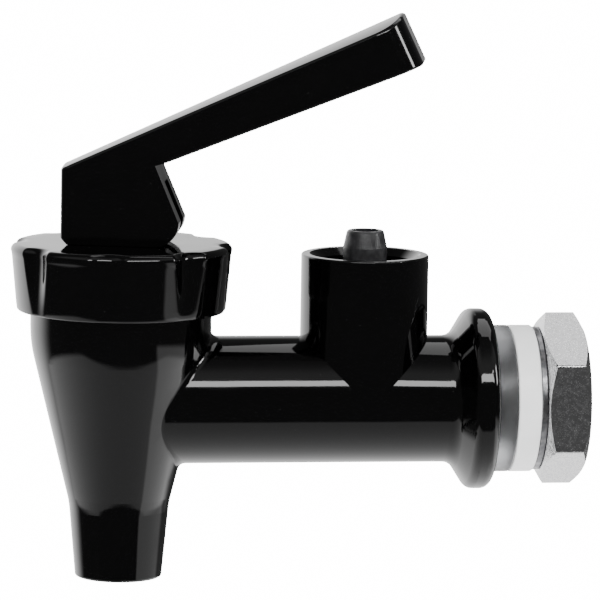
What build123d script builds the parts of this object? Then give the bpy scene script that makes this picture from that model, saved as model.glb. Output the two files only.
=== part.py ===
from build123d import *
import os
from math import cos, radians, sin, tan

# Push-lever dispenser faucet with a sight-gauge socket, in millimetres.
# Z is up. The origin is the centre of the flange's back face, where the faucet meets the wall
# of the drink container. The shank runs along +X into the container, and the spout hangs
# along -Z. Places along X are measured from the spout axis, which stands at SPOUT_X.

# ---------------------------------------------------------------- driving dimensions
# valve body: spout cone and bonnet neck, radius at height
TIP_Z = -39.0
TIP_R = 9.5
TIP_EDGE = 0.6
KINK_Z = -22.6
KINK_R = 11.0
KINK_BLEND = 20
SHOULDER_Z = 12.9
SHOULDER_R = 19.8
SHOULDER_BLEND = 30
NECK_Z = 19.9
RIM_R = 19.2
RIM_Z = 28.0

# shank tube, flange and thread blank
TUBE_R = 14.0
TUBE_BLEND = 1.6
WATERWAY_R = 8.0
SHANK_BORE_R = 8.4
SHANK_BORE_DEPTH = 31.0
FLANGE_R = 19.9
FLANGE_FRONT_X = 76.6
FLANGE_ROOT_X = 72.8
FLANGE_BACK_X = 81.6
FLANGE_BLEND = 3
FLANGE_EDGE = 2.2
SHANK_R = 11.1
SHANK_END_X = 101.0
THREAD_LEAD = 0.9

# inside of the valve
CHAMBER_R = 15.6
CHAMBER_Z = 6.0
SEAT_Z = -13.0
SEAT_LIP = 0.8
SEAT_FLOOR_R = 10.6
SEAT_LIP_R = 8.6
THROAT_R = 6.9
THROAT_Z = -16.0
SPOUT_BORE_R = 7.3

# sight-gauge socket
GAUGE_X = 53.6
GAUGE_R = 14.0
GAUGE_TOP = 32.2
GAUGE_BORE_R = 10.6
GAUGE_FLOOR = 11.5
GAUGE_BEVEL = 1.6
GAUGE_RIM_EDGE = 0.4
GAUGE_PORT_R = 5.05
NIPPLE_R = 4.84
NIPPLE_TIP_R = 4.1
NIPPLE_BORE_R = 2.9
NIPPLE_TAPER_Z = 33.7
NIPPLE_TOP = 37.4
NIPPLE_BASE_T = 3.0
NIPPLE_BASE_GAP = 0.1
NIPPLE_TIP_EDGE = 0.3
GATE_X = 44.0
GATE_R = 1.65
GATE_DEPTH = 0.5
GATE_PIT_R = 0.6
GATE_PIT_DEPTH = 0.9

# bonnet
BONNET_TOP = 34.7
BONNET_BOTTOM = 20.0
BONNET_TOP_R = 24.2
BONNET_BOTTOM_R = 22.8
BONNET_CEILING = 30.0
BONNET_BORE_R = 19.3
BONNET_EDGE = 1.5
BONNET_LOW_EDGE = 0.5
FLUTES = 8
FLUTE_R = 5.4
FLUTE_DEPTH = 2.0
FLUTE_TURN = 32.5
FLUTE_END_Z = 20.8
FLUTE_OVERRUN = 0.25  # share of a flute's length that its cutter runs past each end

# stem, its cross pin and its spring
STEM_R = 2.75
STEM_TOP = 46.6
STEM_TOP_EDGE = 0.6
PIVOT_Z = 43.0
PIN_R = 1.25
PIN_LENGTH = 11.6
PIN_EDGE = 0.25
PIN_END_GAP = 0.1
SPRING_SEAT_Z = 4.0
SPRING_SEAT_R = 8.0
SPRING_SEAT_T = 2.0
THRUST_R = 8.4
THRUST_BORE_R = 3.05
THRUST_T = 1.2
CUP_R = 10.1
CUP_WALL = 1.2
CUP_FLANGE_R = 18.8
CUP_OVERLAP = 0.2
CUP_FOLD_R = 12.4
CUP_FOLD_HALF = 3
CUP_FOLDS = (18, 8)  # heights of the fold crests
CUP_FOOT_Z = 1
PLUG_R = 8.8
PLUG_Z = -4.0
NOSE_ROOT_R = 6.3
NOSE_R = 3.0
NOSE_T = 2.2
FOOT_Z = -9.0
FOOT_R = 5.0
FOOT_T = 3.0
SPRING_R = 6.0
WIRE_R = 0.58
SPRING_GAP = 0.02
SPRING_TURNS = 7
RUNNING_FIT = 0.05

# lever handle: distance out along the lever, and height
NOTCH = (10.6, 53.3)
NOTCH_HEEL = (7.8, 52.5)
LEVER_TURN = -11.5
LEVER_SLOPE = 25.3
LEVER_FRONT = -12.9
LEVER_FRONT_TOP = 51.7
LEVER_LENGTH = 81.0
LEVER_END_DEPTH = 11.9
LEVER_BOTTOM = 34.8
LEVER_TOE = 1.5
LEVER_FRONT_W = 13.1
LEVER_END_W = 23.1
LEVER_SLOT_W = 6.0
SLOT_FRONT = -8.8
SLOT_CEILING = 48.6
SLOT_OVERRUN = 1.0
LEVER_CROWN_R = 43.0
LEVER_END_CORNER = 6.0
LEVER_FRONT_CORNER = 1.5
LEVER_TOP_EDGE = 0.8
LEVER_LOW_EDGE = 0.5
HEEL_R = 5.3
HEEL_A = 13.1

# shank hardware, stacked along X from the back of the flange
WASHER_R = 16.2
WASHER_BORE_R = 11.3
CLEAR_WASHER_T = 4.3
WHITE_WASHER_T = 5.1
FLAT_WASHER_R = 15.8
FLAT_WASHER_T = 1.5
NUT_T = 9.5
NUT_ACROSS_FLATS = 33.3
NUT_BORE_R = 11.15
NUT_FACE_R = 16.2
NUT_CHAMFER_ANGLE = 30
NUT_COUNTERSINK = 0.8
NUT_CORNER = 0.6
WASHER_EDGE = 0.4

# ---------------------------------------------------------------- shared planes and axes
SPOUT_X = -FLANGE_BACK_X
spout_base = (SPOUT_X, 0, 0)
spout_axis = Axis(spout_base, (0, 0, 1))
side = Plane(origin=spout_base, x_dir=(1, 0, 0), z_dir=(0, -1, 0))
level = Plane(origin=spout_base, x_dir=(1, 0, 0), z_dir=(0, 0, 1))
gauge_axis = Axis((SPOUT_X + GAUGE_X, 0, 0), (0, 0, 1))
gauge_side = Plane(origin=gauge_axis.position, x_dir=(1, 0, 0), z_dir=(0, -1, 0))
shank_section = Plane(origin=spout_base, x_dir=(0, 1, 0), z_dir=(1, 0, 0))
lever_x = (cos(radians(LEVER_TURN)), sin(radians(LEVER_TURN)), 0)
lever_y = (-sin(radians(LEVER_TURN)), cos(radians(LEVER_TURN)), 0)
lever_side = Plane(origin=spout_base, x_dir=lever_x, z_dir=(-lever_y[0], -lever_y[1], 0))
lever_plan = Plane(origin=spout_base, x_dir=lever_x, z_dir=(0, 0, 1))


def lever_point(out, up):
    """A point on the middle plane of the lever."""
    return lever_side.from_local_coords((out, up, 0))


def round_corner(outline, corner, radius):
    """Round the one corner of a sketch that lies nearest to a point on its plane."""
    fillet(outline.vertices().sort_by_distance(corner)[0], radius)


os.makedirs("parts", exist_ok=True)

# ---------------------------------------------------------------- body
# One moulding: tapered spout, neck for the bonnet, shank tube, flange and gauge socket.
with BuildPart() as body:
    with BuildSketch(side) as spout_outline:
        with BuildLine():
            Polyline(
                (0, TIP_Z),
                (TIP_R, TIP_Z),
                (KINK_R, KINK_Z),
                (SHOULDER_R, SHOULDER_Z),
                (SHOULDER_R, NECK_Z),
                (RIM_R, NECK_Z),
                (RIM_R, RIM_Z),
                (0, RIM_Z),
                close=True,
            )
        make_face()
        round_corner(spout_outline, (TIP_R, TIP_Z), TIP_EDGE)
        round_corner(spout_outline, (KINK_R, KINK_Z), KINK_BLEND)
        round_corner(spout_outline, (SHOULDER_R, SHOULDER_Z), SHOULDER_BLEND)
    revolve(axis=spout_axis)

    with BuildSketch(side) as shank_outline:
        with BuildLine():
            Polyline(
                (0, 0),
                (0, TUBE_R),
                (FLANGE_ROOT_X, TUBE_R),
                (FLANGE_FRONT_X, FLANGE_R),
                (FLANGE_BACK_X, FLANGE_R),
                (FLANGE_BACK_X, SHANK_R),
                (SHANK_END_X, SHANK_R),
                (SHANK_END_X, 0),
                close=True,
            )
        make_face()
        round_corner(shank_outline, (FLANGE_ROOT_X, TUBE_R), FLANGE_BLEND)
        round_corner(shank_outline, (FLANGE_FRONT_X, FLANGE_R), FLANGE_EDGE)
        round_corner(shank_outline, (FLANGE_BACK_X, FLANGE_R), FLANGE_EDGE)
        chamfer(shank_outline.vertices().sort_by_distance((SHANK_END_X, SHANK_R))[0], THREAD_LEAD)
    revolve(axis=Axis.X)
    fillet(body.edges().filter_by(GeomType.BSPLINE), TUBE_BLEND)

    with BuildSketch(level.offset(GAUGE_TOP)):
        with Locations((GAUGE_X, 0)):
            Circle(GAUGE_R)
    extrude(amount=-GAUGE_TOP)
    fillet(body.edges().group_by(Axis.Z)[-1], GAUGE_RIM_EDGE)

    # the water chamber narrows to the raised seat, and the spout bore opens a little below it
    with BuildSketch(side):
        with BuildLine():
            Polyline(
                (0, RIM_Z),
                (CHAMBER_R, RIM_Z),
                (CHAMBER_R, CHAMBER_Z),
                (SEAT_FLOOR_R, SEAT_Z - SEAT_LIP),
                (SEAT_LIP_R, SEAT_Z - SEAT_LIP),
                (SEAT_LIP_R, SEAT_Z),
                (THROAT_R, SEAT_Z),
                (THROAT_R, THROAT_Z),
                (SPOUT_BORE_R, THROAT_Z),
                (SPOUT_BORE_R, TIP_Z),
                (0, TIP_Z),
                close=True,
            )
        make_face()
    revolve(axis=spout_axis, mode=Mode.SUBTRACT)

    # waterway from the shank's open end to the chamber, a little wider inside the shank
    for bore_r, bore_length in ((WATERWAY_R, SHANK_END_X), (SHANK_BORE_R, SHANK_BORE_DEPTH)):
        with BuildSketch(shank_section.offset(SHANK_END_X)):
            Circle(bore_r)
        extrude(amount=-bore_length, mode=Mode.SUBTRACT)

    # open socket, its bevelled mouth, and the port that takes the nipple's root
    with BuildSketch(level.offset(GAUGE_TOP)):
        with Locations((GAUGE_X, 0)):
            Circle(GAUGE_BORE_R)
    extrude(amount=GAUGE_FLOOR - GAUGE_TOP, mode=Mode.SUBTRACT)
    with BuildSketch(level.offset(GAUGE_FLOOR)):
        with Locations((GAUGE_X, 0)):
            Circle(GAUGE_PORT_R)
    extrude(amount=-GAUGE_FLOOR, mode=Mode.SUBTRACT)
    with BuildSketch(level.offset(GAUGE_TOP)):
        with Locations((GAUGE_X, 0)):
            Circle(GAUGE_BORE_R + GAUGE_BEVEL)
    extrude(amount=-GAUGE_BEVEL, taper=45, mode=Mode.SUBTRACT)

    # shallow round recess under the tube, where the plastic was let into the mould
    with Locations(Plane(origin=(SPOUT_X + GATE_X, 0, -TUBE_R), z_dir=(0, 0, -1))):
        CounterBoreHole(GATE_PIT_R, GATE_R, GATE_DEPTH, GATE_PIT_DEPTH)

body.part.label = "body"
export_step(body.part, "parts/body.step")

# ---------------------------------------------------------------- bonnet
# Screw cap over the neck, with finger flutes that run out towards its lower edge.
with BuildPart() as bonnet:
    with BuildSketch(side) as bonnet_outline:
        with BuildLine():
            Polyline(
                (STEM_R + RUNNING_FIT, BONNET_TOP),
                (BONNET_TOP_R, BONNET_TOP),
                (BONNET_BOTTOM_R, BONNET_BOTTOM),
                (BONNET_BORE_R, BONNET_BOTTOM),
                (BONNET_BORE_R, BONNET_CEILING),
                (STEM_R + RUNNING_FIT, BONNET_CEILING),
                close=True,
            )
        make_face()
        round_corner(bonnet_outline, (BONNET_TOP_R, BONNET_TOP), BONNET_EDGE)
        round_corner(bonnet_outline, (BONNET_BOTTOM_R, BONNET_BOTTOM), BONNET_LOW_EDGE)
    revolve(axis=spout_axis)

    flute_top_r = BONNET_TOP_R - FLUTE_DEPTH + FLUTE_R
    flute_bottom_r = BONNET_BOTTOM_R + FLUTE_R
    for flute in range(FLUTES):
        turn = radians(FLUTE_TURN + flute * 360 / FLUTES)
        outward = Vector(cos(turn), sin(turn), 0)
        low = Vector(SPOUT_X, 0, FLUTE_END_Z) + outward * flute_bottom_r
        high = Vector(SPOUT_X, 0, BONNET_TOP) + outward * flute_top_r
        run = high - low
        with BuildSketch(Plane(origin=low - run * FLUTE_OVERRUN, z_dir=run)):
            Circle(FLUTE_R)
        extrude(amount=run.length * (1 + 2 * FLUTE_OVERRUN), mode=Mode.SUBTRACT)

bonnet.part.label = "bonnet"
export_step(bonnet.part, "parts/bonnet.step")

# ---------------------------------------------------------------- seat cup
# Silicone bellows. Its flange is clamped under the bonnet, and its plug closes the seat.
bellows_points = [(CUP_R, RIM_Z + CUP_OVERLAP)]
for crest in CUP_FOLDS:
    bellows_points += [
        (CUP_R, crest + CUP_FOLD_HALF),
        (CUP_FOLD_R, crest),
        (CUP_R, crest - CUP_FOLD_HALF),
    ]
bellows_points += [(CUP_R, CUP_FOOT_Z), (PLUG_R - CUP_WALL / 2, PLUG_Z)]
with BuildPart() as seat_cup:
    with BuildSketch(side):
        with BuildLine() as bellows:
            Polyline(*bellows_points)
        trace(bellows.line, CUP_WALL)
        with BuildLine():
            Polyline(
                (CUP_R - CUP_WALL / 2, RIM_Z),
                (CUP_FLANGE_R, RIM_Z),
                (CUP_FLANGE_R, BONNET_CEILING),
                (CUP_R - CUP_WALL / 2, BONNET_CEILING),
                close=True,
            )
        make_face()
        with BuildLine():
            Polyline(
                (0, FOOT_Z),
                (FOOT_R, FOOT_Z),
                (FOOT_R, FOOT_Z + FOOT_T),
                (STEM_R + RUNNING_FIT, FOOT_Z + FOOT_T),
                (STEM_R + RUNNING_FIT, PLUG_Z),
                (PLUG_R, PLUG_Z),
                (PLUG_R, SEAT_Z),
                (NOSE_ROOT_R, SEAT_Z),
                (NOSE_R, SEAT_Z - NOSE_T),
                (0, SEAT_Z - NOSE_T),
                close=True,
            )
        make_face()
    revolve(axis=spout_axis)

seat_cup.part.label = "seat_cup"
export_step(seat_cup.part, "parts/seat_cup.step")

# ---------------------------------------------------------------- stem
# Round rod with a foot held in the seat cup, a spring seat, and a cross hole for the lever pin.
with BuildPart() as stem:
    with BuildSketch(side):
        with BuildLine():
            Polyline(
                (0, FOOT_Z + RUNNING_FIT),
                (FOOT_R - RUNNING_FIT, FOOT_Z + RUNNING_FIT),
                (FOOT_R - RUNNING_FIT, FOOT_Z + FOOT_T - RUNNING_FIT),
                (STEM_R, FOOT_Z + FOOT_T - RUNNING_FIT),
                (STEM_R, SPRING_SEAT_Z - SPRING_SEAT_T),
                (SPRING_SEAT_R, SPRING_SEAT_Z - SPRING_SEAT_T),
                (SPRING_SEAT_R, SPRING_SEAT_Z),
                (STEM_R, SPRING_SEAT_Z),
                (STEM_R, STEM_TOP - STEM_TOP_EDGE),
                (STEM_R - STEM_TOP_EDGE, STEM_TOP),
                (0, STEM_TOP),
                close=True,
            )
        make_face()
    revolve(axis=spout_axis)
    with BuildSketch(lever_side.offset(-STEM_R)):
        with Locations((0, PIVOT_Z)):
            Circle(PIN_R)
    extrude(amount=STEM_R * 2, mode=Mode.SUBTRACT)

stem.part.label = "stem"
export_step(stem.part, "parts/stem.step")

# ---------------------------------------------------------------- lever pin
# Stainless cross pin, pressed through the stem; the lever's cheeks snap over its ends.
with BuildPart() as lever_pin:
    with BuildSketch(lever_side.offset(-PIN_LENGTH / 2)):
        with Locations((0, PIVOT_Z)):
            Circle(PIN_R)
    extrude(amount=PIN_LENGTH)
    chamfer(lever_pin.edges().filter_by(GeomType.CIRCLE), PIN_EDGE)

lever_pin.part.label = "lever_pin"
export_step(lever_pin.part, "parts/lever_pin.step")

# ---------------------------------------------------------------- stem spring
# Compression spring between the spring seat on the stem and the thrust washer.
spring_bottom = SPRING_SEAT_Z + SPRING_GAP + WIRE_R
spring_top = BONNET_CEILING - THRUST_T - SPRING_GAP - WIRE_R
with BuildPart() as stem_spring:
    with BuildLine() as coil:
        Helix(
            pitch=(spring_top - spring_bottom) / SPRING_TURNS,
            height=spring_top - spring_bottom,
            radius=SPRING_R,
            center=(SPOUT_X, 0, spring_bottom),
        )
    with BuildSketch(Plane(origin=coil.line @ 0, z_dir=coil.line % 0)):
        Circle(WIRE_R)
    sweep()

stem_spring.part.label = "stem_spring"
export_step(stem_spring.part, "parts/stem_spring.step")

# ---------------------------------------------------------------- thrust washer
# Nylon ring that lets the spring turn with the lever under the bonnet.
with BuildPart() as thrust_washer:
    with BuildSketch(level.offset(BONNET_CEILING)):
        Circle(THRUST_R)
        Circle(THRUST_BORE_R, mode=Mode.SUBTRACT)
    extrude(amount=-THRUST_T)

thrust_washer.part.label = "thrust_washer"
export_step(thrust_washer.part, "parts/thrust_washer.step")

# ---------------------------------------------------------------- lever handle
# One moulding: a slotted base that straddles the stem, and a lever that widens to its end.
slope = radians(LEVER_SLOPE)
top_end = (LEVER_FRONT + LEVER_LENGTH * cos(slope), LEVER_FRONT_TOP + LEVER_LENGTH * sin(slope))
low_end = (top_end[0] + LEVER_END_DEPTH * sin(slope), top_end[1] - LEVER_END_DEPTH * cos(slope))
heel_centre = (HEEL_A - HEEL_R, LEVER_BOTTOM + HEEL_R)
with BuildPart() as lever_handle:
    with BuildSketch(lever_side.offset(-LEVER_END_W)):
        with BuildLine():
            Polyline(
                (heel_centre[0], LEVER_BOTTOM),
                (LEVER_FRONT + LEVER_TOE, LEVER_BOTTOM),
                (LEVER_FRONT, LEVER_BOTTOM + LEVER_TOE),
                (LEVER_FRONT, LEVER_FRONT_TOP),
                top_end,
                low_end,
                NOTCH,
                NOTCH_HEEL,
                (HEEL_A, heel_centre[1]),
            )
            RadiusArc((HEEL_A, heel_centre[1]), (heel_centre[0], LEVER_BOTTOM), HEEL_R)
        make_face()
    extrude(amount=2 * LEVER_END_W)

    # plan outline: the sides flare from the front of the base to the end of the lever
    with BuildSketch(lever_plan):
        with BuildLine():
            Polyline(
                (LEVER_FRONT, -LEVER_FRONT_W / 2),
                (low_end[0], -LEVER_END_W / 2),
                (low_end[0], LEVER_END_W / 2),
                (LEVER_FRONT, LEVER_FRONT_W / 2),
                close=True,
            )
        make_face()
    extrude(amount=LEVER_FRONT_TOP * 2, mode=Mode.INTERSECT)

    # crowned top: its highest line runs along the middle of the lever
    along = Vector(lever_x[0] * cos(slope), lever_x[1] * cos(slope), sin(slope))
    crown_plane = Plane(origin=lever_point(*top_end), x_dir=lever_y, z_dir=along)
    with BuildSketch(crown_plane.offset(LEVER_END_DEPTH)):
        with Locations((0, -LEVER_CROWN_R)):
            Circle(LEVER_CROWN_R)
    extrude(amount=-LEVER_LENGTH * 2, mode=Mode.INTERSECT)

    # rounded upright corners, then softer edges round the top and along the underside
    end_face = lever_handle.faces().sort_by(Axis((0, 0, 0), along))[-1]
    end_corners = end_face.edges().filter_by(GeomType.LINE).sort_by(SortBy.LENGTH)[:2]
    fillet(end_corners, LEVER_END_CORNER)
    front_face = lever_handle.faces().filter_by(GeomType.PLANE).sort_by(Axis((0, 0, 0), lever_x))[0]
    fillet(front_face.edges().filter_by(Axis.Z), LEVER_FRONT_CORNER)
    top_face = lever_handle.faces().filter_by(GeomType.CYLINDER).sort_by(SortBy.AREA)[-1]
    fillet(top_face.edges(), LEVER_TOP_EDGE)
    flat_faces = lever_handle.faces().filter_by(GeomType.PLANE)
    downward_faces = flat_faces.filter_by(lambda face: face.normal_at().Z < 0)
    underside = downward_faces.sort_by(SortBy.AREA)[-1]
    notch_edge = underside.edges().sort_by(Axis((0, 0, 0), lever_x))[0]
    fillet(underside.edges() - [notch_edge], LEVER_LOW_EDGE)

    # slot for the stem, open below and behind
    with BuildSketch(lever_side.offset(-LEVER_SLOT_W / 2)):
        with BuildLine():
            Polyline(
                (SLOT_FRONT, LEVER_BOTTOM - SLOT_OVERRUN),
                (SLOT_FRONT, SLOT_CEILING),
                (HEEL_A + SLOT_OVERRUN, SLOT_CEILING),
                (HEEL_A + SLOT_OVERRUN, LEVER_BOTTOM - SLOT_OVERRUN),
                close=True,
            )
        make_face()
    extrude(amount=LEVER_SLOT_W, mode=Mode.SUBTRACT)

    # blind sockets in the cheeks for the pin
    with BuildSketch(lever_side.offset(-PIN_LENGTH / 2 - PIN_END_GAP)):
        with Locations((0, PIVOT_Z)):
            Circle(PIN_R + RUNNING_FIT)
    extrude(amount=PIN_LENGTH + 2 * PIN_END_GAP, mode=Mode.SUBTRACT)

lever_handle.part.label = "lever_handle"
export_step(lever_handle.part, "parts/lever_handle.step")

# ---------------------------------------------------------------- gauge nipple
# Rubber nipple pressed into the floor of the gauge socket; the gauge tube pushes over it.
with BuildPart() as gauge_nipple:
    with BuildSketch(gauge_side):
        with BuildLine():
            Polyline(
                (NIPPLE_BORE_R, WATERWAY_R),
                (GAUGE_PORT_R - RUNNING_FIT, WATERWAY_R),
                (GAUGE_PORT_R - RUNNING_FIT, GAUGE_FLOOR),
                (GAUGE_BORE_R - NIPPLE_BASE_GAP, GAUGE_FLOOR),
                (GAUGE_BORE_R - NIPPLE_BASE_GAP, GAUGE_FLOOR + NIPPLE_BASE_T),
                (NIPPLE_R, GAUGE_FLOOR + NIPPLE_BASE_T),
                (NIPPLE_R, NIPPLE_TAPER_Z),
                (NIPPLE_TIP_R, NIPPLE_TOP - NIPPLE_TIP_EDGE),
                (NIPPLE_TIP_R - NIPPLE_TIP_EDGE, NIPPLE_TOP),
                (NIPPLE_BORE_R, NIPPLE_TOP),
                close=True,
            )
        make_face()
    revolve(axis=gauge_axis)

gauge_nipple.part.label = "gauge_nipple"
export_step(gauge_nipple.part, "parts/gauge_nipple.step")

# ---------------------------------------------------------------- shank hardware
# Two sealing washers, a flat washer and the nut, in their order along the shank.
washer_stack = [
    ("shank_washer_clear", WASHER_R, CLEAR_WASHER_T),
    ("shank_washer_white", WASHER_R, WHITE_WASHER_T),
    ("flat_washer", FLAT_WASHER_R, FLAT_WASHER_T),
]
stack_x = FLANGE_BACK_X
for washer_name, washer_r, washer_t in washer_stack:
    with BuildPart() as washer:
        with BuildSketch(shank_section.offset(stack_x)):
            Circle(washer_r)
            Circle(WASHER_BORE_R, mode=Mode.SUBTRACT)
        extrude(amount=washer_t)
        outer_edges = washer.edges().filter_by(GeomType.CIRCLE).group_by(SortBy.RADIUS)[-1]
        fillet(outer_edges, WASHER_EDGE)
    washer.part.label = washer_name
    export_step(washer.part, f"parts/{washer_name}.step")
    stack_x += washer_t

# Hexagon nut with both faces chamfered round its corners, and a countersunk bore.
corner_r = NUT_ACROSS_FLATS / 2 / cos(radians(30))
chamfer_depth = (corner_r - NUT_FACE_R) * tan(radians(NUT_CHAMFER_ANGLE))
with BuildPart() as shank_nut:
    with BuildSketch(shank_section.offset(stack_x)):
        RegularPolygon(radius=corner_r, side_count=6, rotation=30)
    extrude(amount=NUT_T)
    fillet(shank_nut.edges().filter_by(Axis.X), NUT_CORNER)
    with BuildSketch(side):
        with BuildLine():
            Polyline(
                (stack_x, 0),
                (stack_x, NUT_FACE_R),
                (stack_x + chamfer_depth, corner_r),
                (stack_x + NUT_T - chamfer_depth, corner_r),
                (stack_x + NUT_T, NUT_FACE_R),
                (stack_x + NUT_T, 0),
                close=True,
            )
        make_face()
    revolve(axis=Axis.X, mode=Mode.INTERSECT)
    with BuildSketch(shank_section.offset(stack_x)):
        Circle(NUT_BORE_R)
    extrude(amount=NUT_T, mode=Mode.SUBTRACT)
    chamfer(shank_nut.edges().filter_by(GeomType.CIRCLE).group_by(SortBy.RADIUS)[0], NUT_COUNTERSINK)

shank_nut.part.label = "shank_nut"
export_step(shank_nut.part, "parts/shank_nut.step")
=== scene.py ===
import math

import bpy
from mathutils import Matrix, Vector


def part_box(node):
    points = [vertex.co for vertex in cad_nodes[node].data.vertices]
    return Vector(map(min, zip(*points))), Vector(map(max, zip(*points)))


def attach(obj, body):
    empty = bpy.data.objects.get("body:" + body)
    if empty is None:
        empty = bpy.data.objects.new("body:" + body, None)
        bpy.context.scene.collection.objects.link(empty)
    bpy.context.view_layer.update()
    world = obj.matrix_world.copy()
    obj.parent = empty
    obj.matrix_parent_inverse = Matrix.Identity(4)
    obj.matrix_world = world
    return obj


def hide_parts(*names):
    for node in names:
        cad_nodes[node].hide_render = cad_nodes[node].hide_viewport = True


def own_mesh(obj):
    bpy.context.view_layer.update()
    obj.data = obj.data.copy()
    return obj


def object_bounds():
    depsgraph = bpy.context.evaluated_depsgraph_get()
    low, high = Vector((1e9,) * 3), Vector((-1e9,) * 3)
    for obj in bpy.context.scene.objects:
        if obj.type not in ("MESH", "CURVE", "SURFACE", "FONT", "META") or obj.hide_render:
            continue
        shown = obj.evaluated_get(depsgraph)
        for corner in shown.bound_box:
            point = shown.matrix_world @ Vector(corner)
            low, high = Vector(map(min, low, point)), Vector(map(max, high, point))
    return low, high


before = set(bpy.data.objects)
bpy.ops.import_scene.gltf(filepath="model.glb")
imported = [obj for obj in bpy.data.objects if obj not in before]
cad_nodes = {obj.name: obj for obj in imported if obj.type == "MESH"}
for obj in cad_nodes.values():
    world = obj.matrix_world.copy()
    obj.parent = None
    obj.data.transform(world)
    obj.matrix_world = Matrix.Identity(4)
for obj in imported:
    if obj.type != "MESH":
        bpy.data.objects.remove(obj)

cad_low, cad_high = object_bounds()

# ---------------------------------------------------------------- body
# The faucet's main moulding: spout, neck, shank tube, flange and gauge socket in one piece of
# black plastic, polished in the mould. It keeps a faint ripple of flow and picks up dust.
BLACK = (0.0006, 0.0006, 0.0007)
DUST = (0.025, 0.025, 0.025)


def start_effect(name, inputs, outputs):
    """An empty node group with number inputs and number outputs."""
    effect = bpy.data.node_groups.new(name, "ShaderNodeTree")
    for label, value in inputs.items():
        socket = effect.interface.new_socket(label, in_out="INPUT", socket_type="NodeSocketFloat")
        socket.default_value = value
    for label in outputs:
        effect.interface.new_socket(label, in_out="OUTPUT", socket_type="NodeSocketFloat")
    return effect, effect.nodes.new("NodeGroupInput"), effect.nodes.new("NodeGroupOutput")


def add_node(tree, kind, **settings):
    """A node of the given kind, with its own properties set."""
    node = tree.nodes.new(kind)
    for setting, value in settings.items():
        setattr(node, setting, value)
    return node


def spread(tree, value, low, high, to_low, to_high):
    """A number mapped smoothly from one range to another, held at both ends."""
    node = add_node(tree, "ShaderNodeMapRange", interpolation_type="SMOOTHSTEP")
    tree.links.new(value, node.inputs["Value"])
    for label, end in (("From Min", low), ("From Max", high), ("To Min", to_low), ("To Max", to_high)):
        if isinstance(end, (int, float)):
            node.inputs[label].default_value = end
        else:
            tree.links.new(end, node.inputs[label])
    return node.outputs["Result"]


# a number that changes in soft clouds, from its low to its high
mottle, given, result = start_effect("mottle", {"Scale": 100.0, "Low": 0.0, "High": 1.0}, ["Value"])
place = mottle.nodes.new("ShaderNodeTexCoord")
cloud = mottle.nodes.new("ShaderNodeTexNoise")
cloud.inputs["Detail"].default_value = 5.0
mottle.links.new(place.outputs["Object"], cloud.inputs["Vector"])
mottle.links.new(given.outputs["Scale"], cloud.inputs["Scale"])
clouds = spread(mottle, cloud.outputs["Fac"], 0.35, 0.68, given.outputs["Low"], given.outputs["High"])
mottle.links.new(clouds, result.inputs["Value"])

# separate small specks, each cell of the pattern holding one or none
specks, given, result = start_effect("specks", {"Scale": 900.0, "Size": 0.1, "Share": 0.1}, ["Mask"])
place = specks.nodes.new("ShaderNodeTexCoord")
cells = specks.nodes.new("ShaderNodeTexVoronoi")
specks.links.new(place.outputs["Object"], cells.inputs["Vector"])
specks.links.new(given.outputs["Scale"], cells.inputs["Scale"])
lot = specks.nodes.new("ShaderNodeSeparateColor")
specks.links.new(cells.outputs["Color"], lot.inputs["Color"])
chosen = add_node(specks, "ShaderNodeMath", operation="LESS_THAN")
specks.links.new(lot.outputs["Red"], chosen.inputs[0])
specks.links.new(given.outputs["Share"], chosen.inputs[1])
inside = add_node(specks, "ShaderNodeMath", operation="LESS_THAN")
specks.links.new(cells.outputs["Distance"], inside.inputs[0])
specks.links.new(given.outputs["Size"], inside.inputs[1])
both = add_node(specks, "ShaderNodeMath", operation="MULTIPLY")
specks.links.new(chosen.outputs["Value"], both.inputs[0])
specks.links.new(inside.outputs["Value"], both.inputs[1])
specks.links.new(both.outputs["Value"], result.inputs["Mask"])

# slow waves and a fine skin, as heights
skin_inputs = {"Wave scale": 70.0, "Fine scale": 900.0, "Fine share": 0.2}
skin, given, result = start_effect("skin", skin_inputs, ["Height"])
place = skin.nodes.new("ShaderNodeTexCoord")
wave = skin.nodes.new("ShaderNodeTexNoise")
wave.inputs["Detail"].default_value = 1.0
skin.links.new(place.outputs["Object"], wave.inputs["Vector"])
skin.links.new(given.outputs["Wave scale"], wave.inputs["Scale"])
fine = skin.nodes.new("ShaderNodeTexNoise")
fine.inputs["Detail"].default_value = 3.0
skin.links.new(place.outputs["Object"], fine.inputs["Vector"])
skin.links.new(given.outputs["Fine scale"], fine.inputs["Scale"])
height = add_node(skin, "ShaderNodeMath", operation="MULTIPLY_ADD")
skin.links.new(fine.outputs["Fac"], height.inputs[0])
skin.links.new(given.outputs["Fine share"], height.inputs[1])
skin.links.new(wave.outputs["Fac"], height.inputs[2])
skin.links.new(height.outputs["Value"], result.inputs["Height"])


def use_effect(tree, effect, **values):
    """An effect placed in a material, with this material's own values."""
    node = add_node(tree, "ShaderNodeGroup", node_tree=effect)
    for label, value in values.items():
        node.inputs[label.replace("_", " ")].default_value = value
    return node.outputs[0]


def start_finish(name, metallic=0.0, ior=1.5):
    """A material with a Principled shader, ready for its own nodes."""
    finish = bpy.data.materials.new(name)
    finish.use_nodes = True
    shader = finish.node_tree.nodes["Principled BSDF"]
    shader.inputs["Metallic"].default_value = metallic
    shader.inputs["IOR"].default_value = ior
    return finish, finish.node_tree, shader


def two_colours(tree, mask, first, second):
    """A colour that goes from the first to the second as the mask goes from 0 to 1."""
    mix = add_node(tree, "ShaderNodeMix", data_type="RGBA")
    mix.inputs["A"].default_value = (*first, 1)
    mix.inputs["B"].default_value = (*second, 1)
    tree.links.new(mask, mix.inputs["Factor"])
    return mix.outputs["Result"]


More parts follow.
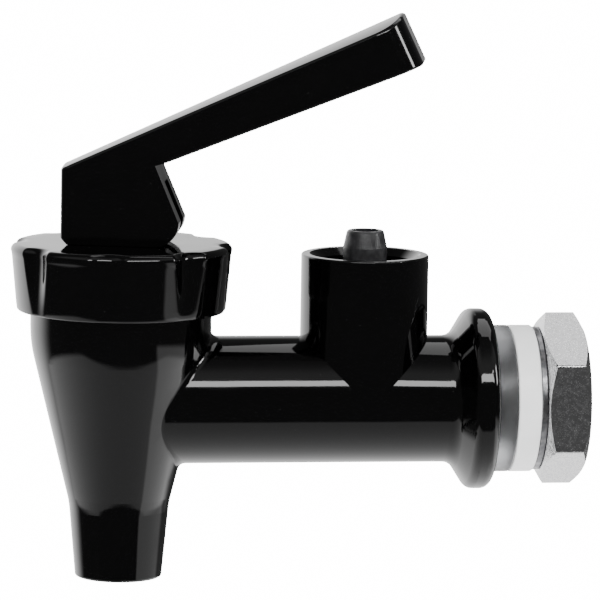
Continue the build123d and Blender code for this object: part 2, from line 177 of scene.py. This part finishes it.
def raise_surface(tree, shader, height, depth):
    """Bump from a height, with its depth in metres."""
    bump = tree.nodes.new("ShaderNodeBump")
    bump.inputs["Distance"].default_value = depth
    tree.links.new(height, bump.inputs["Height"])
    tree.links.new(bump.outputs["Normal"], shader.inputs["Normal"])


def dull(tree, shader, scale, low, high):
    """Roughness that changes in clouds between two values."""
    clouded = use_effect(tree, mottle, Scale=scale, Low=low, High=high)
    tree.links.new(clouded, shader.inputs["Roughness"])


def texture(tree, shader, wave_scale, fine_scale, fine_share, depth):
    """A surface of slow waves with a fine skin on them."""
    height = use_effect(
        tree, skin, Wave_scale=wave_scale, Fine_scale=fine_scale, Fine_share=fine_share
    )
    raise_surface(tree, shader, height, depth)


def black_moulding(name, gloss, dust_share, ripple):
    """Polished black plastic with its own range of gloss, dust and depth of ripple."""
    finish, tree, shader = start_finish(name)
    dust = use_effect(tree, specks, Scale=1100.0, Size=0.09, Share=dust_share)
    tone = two_colours(tree, dust, BLACK, DUST)
    tree.links.new(tone, shader.inputs["Base Color"])
    dull(tree, shader, 140.0, *gloss)
    texture(tree, shader, wave_scale=55.0, fine_scale=900.0, fine_share=0.02, depth=ripple)
    return finish


def give(piece, *finishes):
    """A piece's material slots, in order."""
    piece.data.materials.clear()
    for finish in finishes:
        piece.data.materials.append(finish)


body_black = black_moulding("body_black", gloss=(0.035, 0.075), dust_share=0.035, ripple=0.00012)
give(cad_nodes["body"], body_black)

# ---------------------------------------------------------------- seat cup
# Soft milky silicone bellows, clamped under the bonnet. In the valve its plug is pulled off the seat
# when the stem lifts and the folds shorten; here it rides with the faucet in one fixed shape.
bonnet_low, bonnet_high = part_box("bonnet")
SPOUT_X = (bonnet_low.x + bonnet_high.x) / 2
CUP_RIM = 0.0300
CUP_FLANGE_BOTTOM = 0.0280
CUP_FLANGE_R = 0.0188
CUP_R = 0.0101
CUP_FOLD_R = 0.0124
CUP_WALL = 0.0012
CUP_FOLDS = (0.018, 0.008)
FOLD_HALF = 0.003
PLUG_R = 0.0088
PLUG_TOP = -0.0040
SEAT_Z = -0.0130
NOSE_ROOT_R = 0.0063
NOSE_R = 0.0030
NOSE_Z = -0.0152
FOOT_POCKET_R = 0.0051
FOOT_POCKET_BOTTOM = -0.0092
FOOT_POCKET_TOP = -0.0059
FOOT_NECK_R = 0.0029
CUP_EDGE = 0.0003
TURN_STEPS = 96
JOIN_WITHIN = 0.000001


def only(piece):
    """Nothing but this piece selected and active."""
    bpy.ops.object.select_all(action="DESELECT")
    piece.select_set(True)
    bpy.context.view_layer.objects.active = piece


def settle(piece, angle):
    """Place and size moved into the mesh, normals made outward, sharp edges kept past an angle."""
    only(piece)
    bpy.ops.object.transform_apply(location=True, rotation=True, scale=True)
    bpy.ops.object.mode_set(mode="EDIT")
    bpy.ops.mesh.select_all(action="SELECT")
    bpy.ops.mesh.remove_doubles(threshold=JOIN_WITHIN)
    bpy.ops.mesh.normals_make_consistent(inside=False)
    bpy.ops.object.mode_set(mode="OBJECT")
    bpy.ops.object.shade_smooth_by_angle(angle=math.radians(angle))


def draw_loop(name, points, centre_x):
    """A closed outline of edges in the XZ plane, extruded point by point from a single vertex."""
    bpy.ops.object.select_all(action="DESELECT")
    bpy.ops.mesh.primitive_plane_add(size=0.001, location=(centre_x, 0, 0))
    piece = bpy.context.object
    piece.name = name
    bpy.ops.object.mode_set(mode="EDIT")
    bpy.ops.mesh.select_all(action="SELECT")
    bpy.ops.mesh.merge(type="CENTER")
    bpy.ops.transform.translate(value=(points[0][0], 0, points[0][1]))
    for before, after in zip(points, points[1:]):
        step = (after[0] - before[0], 0, after[1] - before[1])
        bpy.ops.mesh.extrude_vertices_move(TRANSFORM_OT_translate={"value": step})
    bpy.ops.mesh.select_all(action="SELECT")
    bpy.ops.object.mode_set(mode="OBJECT")
    return piece


def turn_loop(piece, centre_x, steps):
    """The outline spun once about the upright axis, and its seam closed."""
    only(piece)
    bpy.ops.object.mode_set(mode="EDIT")
    bpy.ops.mesh.select_all(action="SELECT")
    bpy.ops.mesh.spin(steps=steps, angle=math.tau, center=(centre_x, 0, 0), axis=(0, 0, 1))
    bpy.ops.mesh.select_all(action="SELECT")
    bpy.ops.mesh.remove_doubles(threshold=JOIN_WITHIN)
    bpy.ops.object.mode_set(mode="OBJECT")


def arc(centre_r, centre_z, radius, start, stop, steps):
    """Points of a round corner, by its centre and its angles in degrees."""
    angles = [math.radians(start + (stop - start) * step / steps) for step in range(steps + 1)]
    return [(centre_r + radius * math.cos(a), centre_z + radius * math.sin(a)) for a in angles]


def cloud_tones(tree, shader, scale, first, second):
    """Base colour that drifts in clouds between two tones."""
    clouded = use_effect(tree, mottle, Scale=scale, Low=0.0, High=1.0)
    tree.links.new(two_colours(tree, clouded, first, second), shader.inputs["Base Color"])


outer_fold = []
inner_fold = []
for crest in CUP_FOLDS:
    for rise, radius in ((FOLD_HALF, CUP_R), (0.0, CUP_FOLD_R), (-FOLD_HALF, CUP_R)):
        outer_fold.append((radius + CUP_WALL / 2, crest + rise))
        inner_fold.append((radius - CUP_WALL / 2, crest + rise))
cup_outline = [
    (CUP_FLANGE_R, CUP_RIM),
    (CUP_FLANGE_R, CUP_FLANGE_BOTTOM),
    (CUP_R + CUP_WALL / 2, CUP_FLANGE_BOTTOM),
    *outer_fold,
    (PLUG_R, PLUG_TOP),
    (PLUG_R, SEAT_Z),
    (NOSE_ROOT_R, SEAT_Z),
    (NOSE_R, NOSE_Z),
    (0.0, NOSE_Z),
    (0.0, FOOT_POCKET_BOTTOM),
    (FOOT_POCKET_R, FOOT_POCKET_BOTTOM),
    (FOOT_POCKET_R, FOOT_POCKET_TOP),
    (FOOT_NECK_R, FOOT_POCKET_TOP),
    (FOOT_NECK_R, PLUG_TOP),
    (PLUG_R - CUP_WALL, PLUG_TOP),
    *reversed(inner_fold),
    (CUP_R - CUP_WALL / 2, CUP_RIM),
    (CUP_FLANGE_R, CUP_RIM),
]
seat_cup = draw_loop("seat_cup_bellows", cup_outline, SPOUT_X)
turn_loop(seat_cup, SPOUT_X, TURN_STEPS)
settle(seat_cup, angle=50)
round_off = seat_cup.modifiers.new("round_off", "BEVEL")
round_off.width = CUP_EDGE
round_off.segments = 2
round_off.angle_limit = math.radians(25)
only(seat_cup)
bpy.ops.object.modifier_apply(modifier="round_off")

milky, tree, shader = start_finish("milky_silicone", ior=1.41)
cloud_tones(tree, shader, scale=160.0, first=(0.72, 0.74, 0.73), second=(0.84, 0.85, 0.84))
dull(tree, shader, scale=300.0, low=0.32, high=0.5)
texture(tree, shader, wave_scale=200.0, fine_scale=2500.0, fine_share=0.3, depth=0.00005)
shader.inputs["Subsurface Weight"].default_value = 0.25
shader.inputs["Subsurface Radius"].default_value = (0.002, 0.002, 0.002)
give(seat_cup, milky)
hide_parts("seat_cup")
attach(seat_cup, "faucet")
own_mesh(seat_cup)

# ---------------------------------------------------------------- stem, spring and pin
# A turned acetal rod through the bonnet, closed down by a stainless spring that bears on a
# nylon ring. A stainless cross pin ties it to the lever.
SPRING_LOW, SPRING_HIGH = (corner.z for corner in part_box("stem_spring"))
SPRING_R = 0.0060
WIRE_R = 0.00058
SPRING_TURNS = 7
WIRE_SIDES = 12
COIL_STEPS = 40

spring_rise = SPRING_HIGH - SPRING_LOW - 2 * WIRE_R
bpy.ops.object.select_all(action="DESELECT")
bpy.ops.mesh.primitive_circle_add(
    vertices=WIRE_SIDES,
    radius=WIRE_R,
    rotation=(math.pi / 2, 0, 0),
    location=(SPRING_R, 0, SPRING_LOW + WIRE_R),
)
coil = bpy.context.object
coil.name = "coil_spring"
bpy.ops.object.transform_apply(location=True, rotation=True, scale=True)
winding = coil.modifiers.new("winding", "SCREW")
winding.angle = math.tau
winding.screw_offset = spring_rise / SPRING_TURNS
winding.iterations = SPRING_TURNS
winding.steps = COIL_STEPS
winding.render_steps = COIL_STEPS
bpy.ops.object.modifier_apply(modifier="winding")
bpy.ops.object.mode_set(mode="EDIT")
bpy.ops.mesh.select_all(action="DESELECT")
bpy.ops.mesh.select_non_manifold()
bpy.ops.mesh.fill_holes(sides=0)
bpy.ops.object.mode_set(mode="OBJECT")
coil.location.x = SPOUT_X
settle(coil, angle=60)

spring_steel, tree, shader = start_finish("spring_steel", metallic=1.0)
cloud_tones(tree, shader, scale=500.0, first=(0.46, 0.46, 0.47), second=(0.62, 0.62, 0.63))
dull(tree, shader, scale=900.0, low=0.18, high=0.34)
texture(tree, shader, wave_scale=900.0, fine_scale=4000.0, fine_share=0.4, depth=0.00001)
give(coil, spring_steel)
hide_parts("stem_spring")
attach(coil, "swivel")
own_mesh(coil)
give(cad_nodes["lever_pin"], spring_steel)

acetal, tree, shader = start_finish("turned_acetal", ior=1.48)
cloud_tones(tree, shader, scale=90.0, first=(0.66, 0.66, 0.63), second=(0.76, 0.76, 0.73))
dull(tree, shader, scale=400.0, low=0.28, high=0.46)
place = tree.nodes.new("ShaderNodeTexCoord")
lathe_marks = add_node(tree, "ShaderNodeTexWave", wave_type="BANDS", bands_direction="Z")
lathe_marks.inputs["Scale"].default_value = 700.0
lathe_marks.inputs["Distortion"].default_value = 1.5
tree.links.new(place.outputs["Object"], lathe_marks.inputs["Vector"])
raise_surface(tree, shader, lathe_marks.outputs["Fac"], 0.00001)
give(cad_nodes["stem"], acetal)

nylon, tree, shader = start_finish("nylon", ior=1.53)
cloud_tones(tree, shader, scale=220.0, first=(0.70, 0.70, 0.67), second=(0.80, 0.80, 0.78))
dull(tree, shader, scale=500.0, low=0.35, high=0.55)
texture(tree, shader, wave_scale=400.0, fine_scale=3000.0, fine_share=0.4, depth=0.00001)
give(cad_nodes["thrust_washer"], nylon)

# ---------------------------------------------------------------- bonnet
# Screw cap that holds the valve together, moulded in the same black plastic. Eight tapering
# finger flutes run down its wall, and its rounded top edge dips in with each of them.
BONNET_TOP = bonnet_high.z
BONNET_BOTTOM = bonnet_low.z
BONNET_TOP_R = 0.0242
BONNET_BOTTOM_R = 0.0228
BONNET_BORE_R = 0.0193
BONNET_CEILING = 0.0300
BONNET_EDGE_R = 0.0015
BONNET_LOW_EDGE_R = 0.0005
STEM_HOLE_R = 0.0028
FLUTES = 8
FLUTE_TURN = math.radians(32.5)
FLUTE_R = 0.0054
FLUTE_DEPTH = 0.0020
FLUTE_END = 0.0208
FLUTE_SOFTNESS = 0.0007
TOP_RING_IN = 0.0045
FLUTE_REACH = 0.0040
WALL_RINGS = 14
BONNET_STEPS = 384


def wall_radius(up):
    """Radius of the tapered wall at a height."""
    share = (up - BONNET_BOTTOM) / (BONNET_TOP - BONNET_BOTTOM)
    return BONNET_BOTTOM_R + (BONNET_TOP_R - BONNET_BOTTOM_R) * share


def fluted_radius(up, angle):
    """Radius of the wall where a flute has cut into it, with a soft edge between the two."""
    plain = wall_radius(up)
    depth = max(0.0, FLUTE_DEPTH * (up - FLUTE_END) / (BONNET_TOP - FLUTE_END))
    pitch = math.tau / FLUTES
    off = (angle - FLUTE_TURN + pitch / 2) % pitch - pitch / 2
    centre = plain - depth + FLUTE_R
    reach = FLUTE_R**2 - (centre * math.sin(off)) ** 2
    if reach <= 0:
        return plain
    cut = centre * math.cos(off) - math.sqrt(reach)
    blend = max(0.0, FLUTE_SOFTNESS - abs(cut - plain)) / FLUTE_SOFTNESS
    rounded = min(cut, plain) - blend**2 * FLUTE_SOFTNESS / 4
    return max(rounded, plain - FLUTE_DEPTH)


wall_start = BONNET_BOTTOM + BONNET_LOW_EDGE_R
wall_end = BONNET_TOP - BONNET_EDGE_R
wall = []
for ring in range(1, WALL_RINGS):
    up = wall_start + (wall_end - wall_start) * ring / WALL_RINGS
    wall.append((wall_radius(up), up))
top_edge = arc(BONNET_TOP_R - BONNET_EDGE_R, wall_end, BONNET_EDGE_R, start=0, stop=90, steps=8)
low_edge = arc(
    BONNET_BOTTOM_R - BONNET_LOW_EDGE_R, wall_start, BONNET_LOW_EDGE_R, start=-90, stop=0, steps=3
)
bonnet_outline = [
    (BONNET_BORE_R, BONNET_BOTTOM),
    *low_edge,
    *wall,
    *top_edge,
    (BONNET_TOP_R - TOP_RING_IN, BONNET_TOP),
    (STEM_HOLE_R, BONNET_TOP),
    (STEM_HOLE_R, BONNET_CEILING),
    (BONNET_BORE_R, BONNET_CEILING),
    (BONNET_BORE_R, BONNET_BOTTOM),
]
bonnet = draw_loop("fluted_bonnet", bonnet_outline, SPOUT_X)
turn_loop(bonnet, SPOUT_X, BONNET_STEPS)
only(bonnet)
bpy.ops.object.transform_apply(location=True, rotation=True, scale=True)
for corner in bonnet.data.vertices:
    out = math.hypot(corner.co.x - SPOUT_X, corner.co.y)
    if out > BONNET_TOP_R - FLUTE_REACH:
        angle = math.atan2(corner.co.y, corner.co.x - SPOUT_X)
        share = (out - wall_radius(corner.co.z) + fluted_radius(corner.co.z, angle)) / out
        corner.co.x = SPOUT_X + (corner.co.x - SPOUT_X) * share
        corner.co.y = corner.co.y * share
settle(bonnet, angle=35)
bonnet_black = black_moulding("bonnet_black", gloss=(0.045, 0.09), dust_share=0.03, ripple=0.00008)
give(bonnet, bonnet_black)
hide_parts("bonnet")
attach(bonnet, "faucet")

# ---------------------------------------------------------------- lever
# Push lever, one black moulding whose slotted foot straddles the stem. Its heel rolls on the
# bonnet's top when it is pressed, so its finish is rubbed a little duller than the body's.
lever_black = black_moulding("lever_black", gloss=(0.06, 0.12), dust_share=0.05, ripple=0.00010)
give(cad_nodes["lever_handle"], lever_black)

# ---------------------------------------------------------------- gauge nipple
# Dull grey-black rubber nipple pressed into the socket's floor, for a sight tube to push over.
dull_rubber, tree, shader = start_finish("dull_rubber", ior=1.5)
cloud_tones(tree, shader, scale=420.0, first=(0.012, 0.012, 0.013), second=(0.030, 0.030, 0.032))
dull(tree, shader, scale=700.0, low=0.30, high=0.48)
texture(tree, shader, wave_scale=500.0, fine_scale=3500.0, fine_share=0.6, depth=0.00006)
give(cad_nodes["gauge_nipple"], dull_rubber)

# ---------------------------------------------------------------- shank washers
# A soft see-through silicone washer seals on the flange, a firm white one takes the wall, and
# a thin steel ring keeps the nut from biting into it.
clear_silicone, tree, shader = start_finish("clear_silicone", ior=1.41)
cloud_tones(tree, shader, scale=130.0, first=(0.76, 0.77, 0.79), second=(0.80, 0.81, 0.83))
dull(tree, shader, scale=260.0, low=0.34, high=0.40)
texture(tree, shader, wave_scale=150.0, fine_scale=1500.0, fine_share=0.1, depth=0.00004)
shader.inputs["Transmission Weight"].default_value = 0.96
give(cad_nodes["shank_washer_clear"], clear_silicone)

white_washer, tree, shader = start_finish("white_washer", ior=1.5)
cloud_tones(tree, shader, scale=110.0, first=(0.90, 0.91, 0.91), second=(0.96, 0.96, 0.96))
dull(tree, shader, scale=300.0, low=0.3, high=0.45)
texture(tree, shader, wave_scale=260.0, fine_scale=2400.0, fine_share=0.3, depth=0.00006)
shader.inputs["Subsurface Weight"].default_value = 0.15
shader.inputs["Subsurface Radius"].default_value = (0.001, 0.001, 0.001)
give(cad_nodes["shank_washer_white"], white_washer)

washer_steel, tree, shader = start_finish("washer_steel", metallic=1.0)
cloud_tones(tree, shader, scale=800.0, first=(0.20, 0.20, 0.21), second=(0.34, 0.34, 0.35))
dull(tree, shader, scale=600.0, low=0.28, high=0.45)
texture(tree, shader, wave_scale=700.0, fine_scale=4000.0, fine_share=0.5, depth=0.00002)
give(cad_nodes["flat_washer"], washer_steel)

# ---------------------------------------------------------------- shank nut
# Hexagon nut, cast and chrome plated, screwed up by hand or spanner. The plating has a fine
# grain, a few bright pits and a slightly uneven polish.
plated, tree, shader = start_finish("plated_nut", metallic=1.0)
pits = use_effect(tree, specks, Scale=3400.0, Size=0.42, Share=0.30)
tone = two_colours(tree, pits, (0.62, 0.62, 0.63), (0.98, 0.98, 0.98))
tree.links.new(tone, shader.inputs["Base Color"])
dull(tree, shader, scale=1100.0, low=0.10, high=0.24)
texture(tree, shader, wave_scale=700.0, fine_scale=2400.0, fine_share=1.0, depth=0.00008)
give(cad_nodes["shank_nut"], plated)

# ---------------------------------------------------------------- studio
# White table, a bright wall behind, dark room in front with one strip light, and a camera a
# little above the faucet.
TABLE_GAP = 0.0005
TABLE_SIZE = 6
TABLE_GLOW = 0.75
SEEN_WHITE = 16.0
CAMERA_TURN = math.radians(-7.66)
CAMERA_RISE = math.radians(7.82)
CAMERA_ROLL = math.radians(0.93)
CAMERA_DISTANCE = 1.1253
CAMERA_LENS = 306.9
CAMERA_AIM = Vector((-0.04176, 0.00337, 0.02149))

# how bright the room looks in a reflection, by its direction: each edge is where a glow fades
ROOM_GLOW = 0.09
MATTE_GAIN = 3.5
WALL_BEHIND = 0.893
WALL_LEFT = 0.45
WALL_EDGE = (0.66, 0.97)
WALL_GLOW = 2.4
FLOOR_DIP = -0.56
FLOOR_EDGE = (-0.14, -0.06)
FLOOR_END = (-0.42, -0.34)
FLOOR_DEPTH = (-0.9, 0.7)
FLOOR_GLOW = (0.55, 1.9)
HALO_EDGE = (0.4, 0.6)
HALO_END = (0.75, 1.0)
HALO_GLOW = 0.38
HALO_LEFT_OVER = 0.1
FRONT_EDGE = (-0.1, 0.1)
CARD_EDGE = (0.62, 0.68)
CARD_FOOT = (-0.30, -0.22)
CARD_BACK = (0.3, 0.5)
CARD_GLOW = 0.95
CARD_LEFT_OVER = 0.2

world = bpy.data.worlds.new("studio")
bpy.context.scene.world = world
world.use_nodes = True
room = world.node_tree
room.nodes.clear()
look = room.nodes.new("ShaderNodeTexCoord")
ways = room.nodes.new("ShaderNodeSeparateXYZ")
room.links.new(look.outputs["Generated"], ways.inputs["Vector"])


def combine(operation, first, second):
    """Two numbers put together by a Math node."""
    node = add_node(room, "ShaderNodeMath", operation=operation)
    for socket, value in zip(node.inputs, (first, second)):
        if isinstance(value, (int, float)):
            socket.default_value = value
        else:
            room.links.new(value, socket)
    return node.outputs["Value"]


def fade(value, edge, before, after):
    """A number that goes smoothly from one value to another across an edge."""
    return spread(room, value, *edge, before, after)


right, behind, above = (ways.outputs[axis] for axis in "XYZ")
away = combine("SUBTRACT", combine("MULTIPLY", behind, WALL_BEHIND), combine("MULTIPLY", right, WALL_LEFT))
back_wall = fade(away, WALL_EDGE, 0.0, WALL_GLOW)

front_share = combine("MAXIMUM", combine("MULTIPLY", behind, FLOOR_DIP), 0.0)
floor_mask = combine(
    "MULTIPLY",
    fade(combine("ADD", above, front_share), FLOOR_EDGE, 1.0, 0.0),
    fade(above, FLOOR_END, 1.0, 0.0),
)
floor_glow = combine("MULTIPLY", floor_mask, fade(behind, FLOOR_DEPTH, *FLOOR_GLOW))

halo_height = combine(
    "MULTIPLY", fade(above, HALO_EDGE, 0.0, HALO_GLOW), fade(above, HALO_END, 1.0, HALO_LEFT_OVER)
)
strip_halo = combine("MULTIPLY", halo_height, fade(behind, FRONT_EDGE, 1.0, 0.0))

card_shape = combine(
    "MULTIPLY", fade(right, CARD_EDGE, 0.0, CARD_GLOW), fade(above, CARD_FOOT, 1.0, 0.0)
)
side_card = combine("MULTIPLY", card_shape, fade(behind, CARD_BACK, 1.0, CARD_LEFT_OVER))

glow = combine("ADD", combine("MAXIMUM", back_wall, floor_glow), combine("ADD", strip_halo, side_card))
lit = room.nodes.new("ShaderNodeBackground")
path = room.nodes.new("ShaderNodeLightPath")
matte_gain = combine("ADD", combine("MULTIPLY", path.outputs["Is Diffuse Ray"], MATTE_GAIN), 1.0)
strength = combine("MULTIPLY", combine("ADD", glow, ROOM_GLOW), matte_gain)
room.links.new(strength, lit.inputs["Strength"])
seen = room.nodes.new("ShaderNodeBackground")
seen.inputs["Color"].default_value = (1, 1, 1, 1)
seen.inputs["Strength"].default_value = SEEN_WHITE
pick = room.nodes.new("ShaderNodeMixShader")
sky = room.nodes.new("ShaderNodeOutputWorld")
lit.inputs["Color"].default_value = (1, 1, 1, 1)
room.links.new(path.outputs["Is Camera Ray"], pick.inputs["Fac"])
room.links.new(lit.outputs["Background"], pick.inputs[1])
room.links.new(seen.outputs["Background"], pick.inputs[2])
room.links.new(pick.outputs["Shader"], sky.inputs["Surface"])

bpy.ops.object.select_all(action="DESELECT")
bpy.ops.mesh.primitive_plane_add(size=TABLE_SIZE, location=(0, 0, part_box("body")[0].z - TABLE_GAP))
table = bpy.context.object
table.name = "table"
bpy.ops.object.transform_apply(location=True)
table_white, tree, shader = start_finish("table_white")
shader.inputs["Base Color"].default_value = (0.92, 0.92, 0.92, 1)
shader.inputs["Roughness"].default_value = 0.7
shader.inputs["Emission Color"].default_value = (1, 1, 1, 1)
shader.inputs["Emission Strength"].default_value = TABLE_GLOW
bright = tree.nodes.new("ShaderNodeEmission")
bright.inputs["Strength"].default_value = SEEN_WHITE
unseen = tree.nodes.new("ShaderNodeBsdfTransparent")
path = tree.nodes.new("ShaderNodeLightPath")
for_camera = tree.nodes.new("ShaderNodeMixShader")
for_gloss = tree.nodes.new("ShaderNodeMixShader")
tree.links.new(path.outputs["Is Camera Ray"], for_camera.inputs["Fac"])
tree.links.new(shader.outputs["BSDF"], for_camera.inputs[1])
tree.links.new(bright.outputs["Emission"], for_camera.inputs[2])
tree.links.new(path.outputs["Is Glossy Ray"], for_gloss.inputs["Fac"])
tree.links.new(for_camera.outputs["Shader"], for_gloss.inputs[1])
tree.links.new(unseen.outputs["BSDF"], for_gloss.inputs[2])
tree.links.new(for_gloss.outputs["Shader"], tree.nodes["Material Output"].inputs["Surface"])
give(table, table_white)


def soft_box(name, spot, target, width, height, power):
    """A rectangular soft light at a spot, turned towards a target."""
    data = bpy.data.lights.new(name, "AREA")
    data.shape = "RECTANGLE"
    data.size = width
    data.size_y = height
    data.energy = power
    light = bpy.data.objects.new(name, data)
    bpy.context.scene.collection.objects.link(light)
    direction = Vector(spot) - Vector(target)
    facing = direction.to_track_quat("Z", "Y").to_matrix().to_4x4()
    light.matrix_world = Matrix.Translation(spot) @ facing


middle = (Vector(cad_low) + Vector(cad_high)) / 2
nut_low, nut_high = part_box("shank_nut")
nut_middle = (nut_low + nut_high) / 2
STRIP_PLACE = Vector((0.0, -0.81, 0.53))
CARD_PLACE = Vector((0.80, -0.30, 0.36))
OVER_NUT_PLACE = Vector((0.06, 0.12, 0.34))
soft_box("strip", middle + STRIP_PLACE, middle, width=1.1, height=0.17, power=6.5)
soft_box("right_card", middle + CARD_PLACE, middle, width=0.15, height=0.30, power=2.4)
soft_box("over_nut", nut_middle + OVER_NUT_PLACE, nut_middle, width=0.22, height=0.22, power=0.25)

camera_data = bpy.data.cameras.new("camera")
camera_data.lens = CAMERA_LENS
camera = bpy.data.objects.new("camera", camera_data)
bpy.context.scene.collection.objects.link(camera)
bpy.context.scene.camera = camera
towards_camera = Vector((
    math.sin(CAMERA_TURN) * math.cos(CAMERA_RISE),
    -math.cos(CAMERA_TURN) * math.cos(CAMERA_RISE),
    math.sin(CAMERA_RISE),
))
facing = towards_camera.to_track_quat("Z", "Y").to_matrix().to_4x4()
tilt = Matrix.Rotation(CAMERA_ROLL, 4, "Z")
camera.matrix_world = Matrix.Translation(CAMERA_AIM + towards_camera * CAMERA_DISTANCE) @ facing @ tilt
